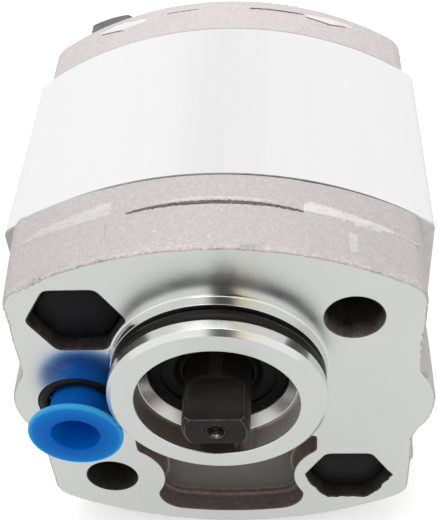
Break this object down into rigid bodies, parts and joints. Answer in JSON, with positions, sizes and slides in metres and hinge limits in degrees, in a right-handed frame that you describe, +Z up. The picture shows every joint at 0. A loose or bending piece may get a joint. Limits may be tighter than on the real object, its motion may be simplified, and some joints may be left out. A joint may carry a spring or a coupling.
{
  "type": "hydraulic gear pump",
  "caption": "Small external gear pump with a die-cast front cover, pilot boss and flat-sided drive shaft, an extruded body, a rear cover and a blue plug in its outlet port.",
  "frame": {"origin": "the pilot's axis where it meets the mounting face", "axes": "-Y along the drive shaft, out of the pilot; +Y into the pump; +Z up; +X right as seen from the shaft's end"},
  "size_m": [0.0742, 0.0936, 0.0776],
  "materials": {
    "cast_cover": "die cast, machined on the mounting face",
    "extruded_body": "smooth extruded, bright",
    "shaft_steel": "case hardened, dark",
    "bearing_alloy": "machined",
    "bush_bronze": "lined, matt",
    "seal_rubber": "satin",
    "bright_steel": "bright",
    "black_steel": "blackened",
    "backup_plastic": "plain",
    "plug_plastic": "soft, slightly translucent"
  },
  "bodies": {
    "housing": {"front_cover": "cast_cover", "pump_body": "extruded_body", "rear_cover": "cast_cover", "front_bearing_block": "bearing_alloy", "rear_bearing_block": "bearing_alloy", "front_drive_bush": "bush_bronze", "front_driven_bush": "bush_bronze", "rear_drive_bush": "bush_bronze", "rear_driven_bush": "bush_bronze", "shaft_seal": "seal_rubber", "seal_case": "bright_steel", "garter_spring": "bright_steel", "pilot_o_ring": "seal_rubber", "port_o_ring": "seal_rubber", "front_body_seal": "seal_rubber", "rear_body_seal": "seal_rubber", "front_block_seal": "seal_rubber", "rear_block_seal": "seal_rubber", "front_backup_strips": "backup_plastic", "rear_backup_strips": "backup_plastic", "front_dowels": "bright_steel", "rear_dowels": "bright_steel", "clamp_bolts": "black_steel", "flat_washers": "bright_steel", "spring_washers": "black_steel", "clamp_nuts": "black_steel"},
    "drive_shaft": {"drive_gear_shaft": "shaft_steel"},
    "driven_shaft": {"driven_gear_shaft": "shaft_steel"},
    "plug": {"port_plug": "plug_plastic"}
  },
  "joints": [
    {"name": "drive_turn", "type": "hinge", "parent": "housing", "child": "drive_shaft", "pos_m": [0, 0, 0], "axis": [0, 1, 0], "continuous": true},
    {"name": "driven_turn", "type": "hinge", "parent": "housing", "child": "driven_shaft", "pos_m": [0, 0, -0.02], "axis": [0, 1, 0], "continuous": true},
    {"name": "plug_pull", "type": "slide", "parent": "housing", "child": "plug", "axis": [0, -1, 0], "range_m": [0, 0.02]}
  ],
  "couplings": [
    {"joint": "driven_turn", "follows": "drive_turn", "ratio": -1}
  ]
}
